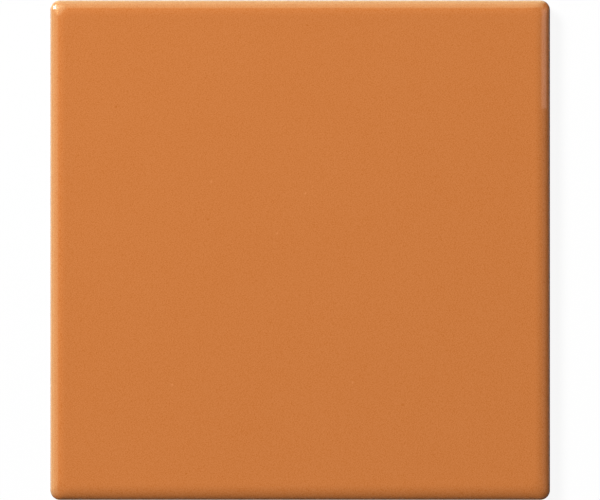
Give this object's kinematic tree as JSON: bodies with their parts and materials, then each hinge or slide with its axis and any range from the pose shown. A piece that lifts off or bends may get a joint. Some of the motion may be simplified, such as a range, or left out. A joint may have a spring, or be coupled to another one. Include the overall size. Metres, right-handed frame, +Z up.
{
  "type": "floor tile",
  "caption": "Square glazed ceramic floor tile with a cushioned edge, rounded corners and a keyed back that is bedded in adhesive.",
  "frame": {"origin": "centre of the back, on the plane that the tile is bedded on", "axes": "+Z up through the glazed face; X and Y along the sides"},
  "size_m": [0.148, 0.148, 0.008],
  "materials": {
    "glaze": "satin"
  },
  "bodies": {
    "root": {"tile": "glaze"}
  },
  "joints": []
}
